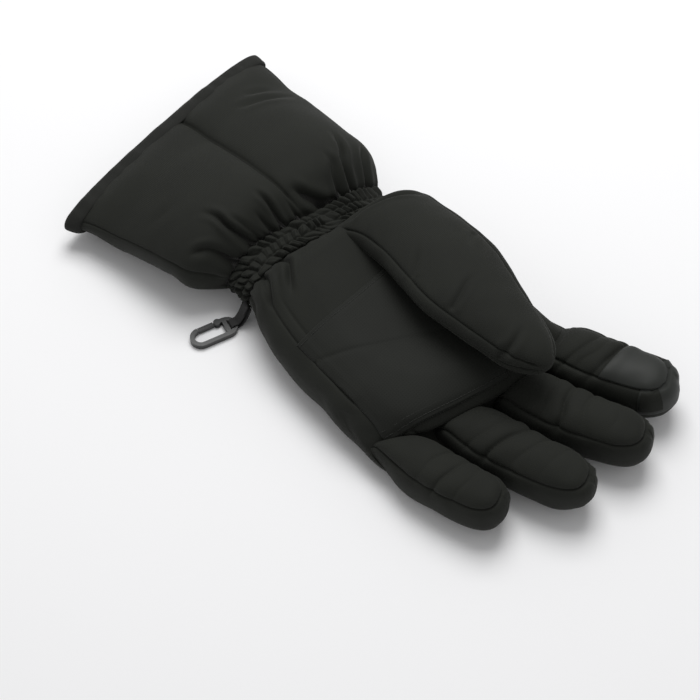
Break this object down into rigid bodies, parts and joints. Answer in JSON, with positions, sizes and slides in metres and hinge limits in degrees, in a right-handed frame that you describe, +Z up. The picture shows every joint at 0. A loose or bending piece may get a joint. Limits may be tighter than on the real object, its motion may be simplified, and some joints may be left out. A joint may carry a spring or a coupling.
{
  "type": "heated glove",
  "caption": "Padded winter glove for the left hand: flared cuff, shirred wrist, palm patch, conductive index fingertip and a small snap clip on a tape at the wrist.",
  "frame": {"origin": "on the floor under the middle of the glove's bounding box, as it lies on its back with the palm up", "axes": "+Z up out of the palm, +Y from the fingertips to the cuff's hem, +X to the thumb's side"},
  "size_m": [0.1772, 0.3308, 0.067],
  "materials": {
    "shell": "matte black woven nylon shell over wadding",
    "trim": "matte black ribbon and gathered shell cloth",
    "patch": "coated grip cloth, smoother and a little lighter",
    "pad": "grey conductive film cloth with a satin sheen",
    "clip": "moulded black acetal"
  },
  "bodies": {
    "glove": {"cuff_front_ulnar": "shell", "cuff_front_radial": "shell", "cuff_back": "shell", "palm_panel": "shell", "back_panel": "shell", "thumb_front": "shell", "thumb_back": "shell", "little_finger_front": "shell", "little_finger_sides": "shell", "ring_finger_front": "shell", "ring_finger_sides": "shell", "middle_finger_front": "shell", "middle_finger_sides": "shell", "index_finger_front": "shell", "index_finger_sides": "shell", "cuff_binding": "trim", "wrist_shirring": "trim", "clip_tape": "trim", "palm_patch": "patch", "index_touch_pad": "pad", "clip_body": "clip"},
    "clip_gate": {"clip_gate": "clip"}
  },
  "joints": [
    {"name": "gate_hinge", "type": "hinge", "parent": "glove", "child": "clip_gate", "pos_m": [-0.06277, 0.06325, 0.0015], "axis": [0, 0, 1], "range_deg": [0, 25], "stiffness_Nm_per_rad": 0.005, "springref_deg": -5.73}
  ]
}
